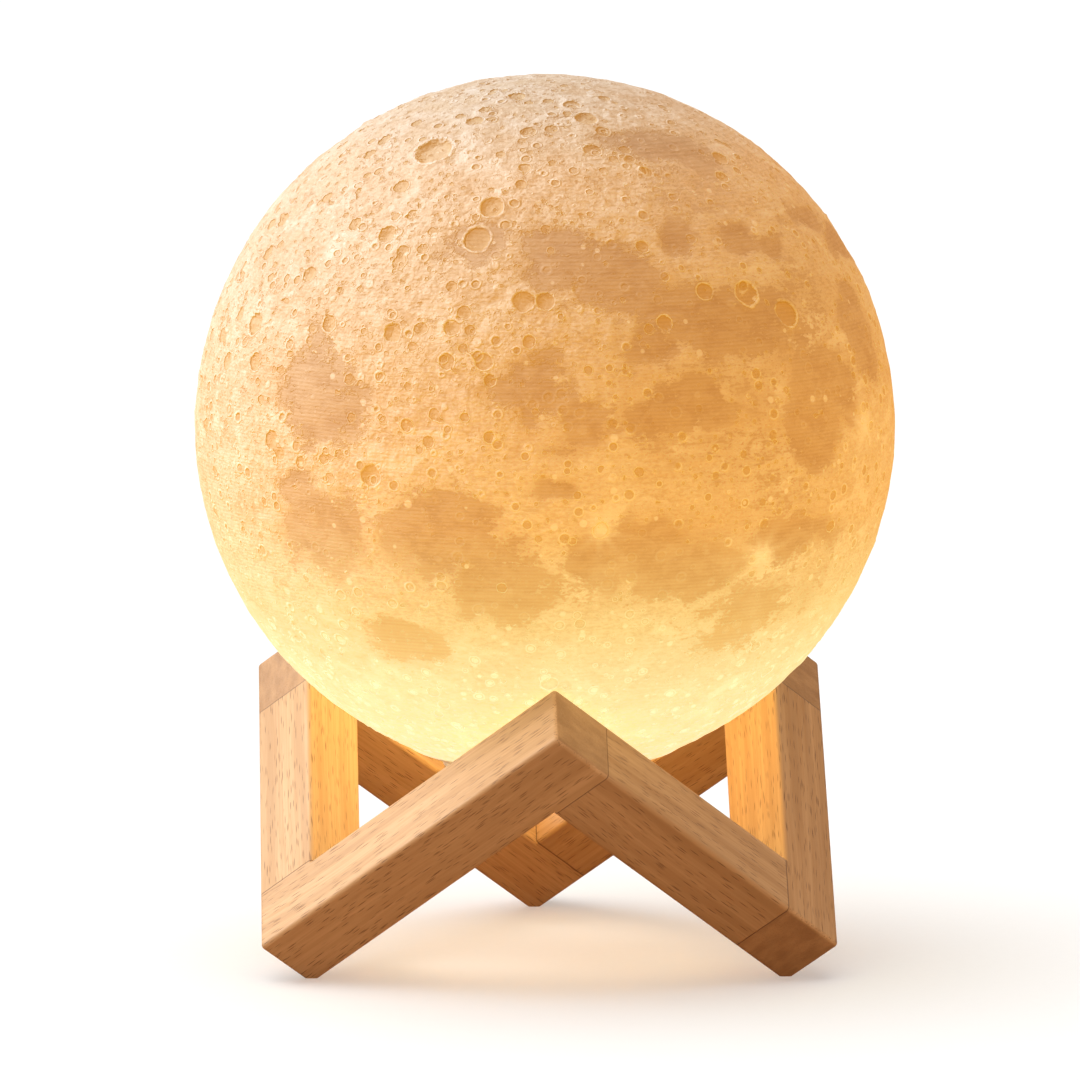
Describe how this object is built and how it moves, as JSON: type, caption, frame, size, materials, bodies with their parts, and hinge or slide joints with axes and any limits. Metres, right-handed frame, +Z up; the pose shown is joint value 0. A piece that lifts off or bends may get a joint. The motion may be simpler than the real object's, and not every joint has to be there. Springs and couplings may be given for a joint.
{
  "type": "moon lamp",
  "caption": "Glowing moon globe with craters, resting on a zigzag stand of square wooden bars, with a twist-out light module underneath.",
  "frame": {"origin": "on the surface that the lamp stands on, under the middle of the globe", "axes": "+Z up; -Y is the front, where one peak of the stand faces the viewer; +X to the viewer's right"},
  "size_m": [0.15, 0.15, 0.1892],
  "materials": {
    "beech": "sanded and waxed",
    "printed_shade": "printed in fine layers, lit from inside",
    "white_plastic": "fine moulded texture",
    "chromed_ring": "polished",
    "screw_steel": "zinc plated",
    "socket_steel": "satin",
    "board_laminate": "solder mask",
    "component_black": "moulded",
    "cell_foil": "matt foil",
    "foam_tape": "closed cell foam",
    "led_board_white": "white solder mask",
    "led_package": "silicone over a white body",
    "frosted_cover": "frosted",
    "lead_red": "insulated wire",
    "lead_white": "insulated wire",
    "button_plastic": "fine moulded texture"
  },
  "bodies": {
    "stand": {"bar_front_left": "beech", "bar_front_right": "beech", "bar_right": "beech", "bar_back_right": "beech", "bar_back_left": "beech", "bar_left": "beech", "corner_dowels": "beech"},
    "globe": {"moon_shade": "printed_shade", "shade_collar": "white_plastic"},
    "light_module": {"module_housing": "white_plastic", "base_cap": "white_plastic", "touch_ring": "chromed_ring", "cap_screws": "screw_steel", "control_board": "board_laminate", "control_board_screws": "screw_steel", "board_components": "component_black", "charging_socket": "socket_steel", "socket_tongue": "component_black", "switch_body": "component_black", "battery_cell": "cell_foil", "battery_protection_board": "board_laminate", "battery_pad": "foam_tape", "led_board": "led_board_white", "led_board_screws": "screw_steel", "led_emitters": "led_package", "led_diffuser": "frosted_cover", "battery_leads": "lead_red", "led_leads": "lead_white", "touch_lead": "lead_white"},
    "power_button": {"power_button": "button_plastic", "switch_plunger": "component_black"}
  },
  "joints": [
    {"name": "globe_lift", "type": "slide", "parent": "stand", "child": "globe", "axis": [0, 0, 1], "range_m": [0, 0.06]},
    {"name": "module_twist", "type": "hinge", "parent": "globe", "child": "light_module", "pos_m": [0, 0, 0.05], "axis": [0, 0, -1], "range_deg": [0, 40]},
    {"name": "power_button_press", "type": "slide", "parent": "light_module", "child": "power_button", "axis": [0, 0, 1], "range_m": [0, 0.001], "stiffness_N_per_m": 1500, "springref_m": -0.0003}
  ]
}
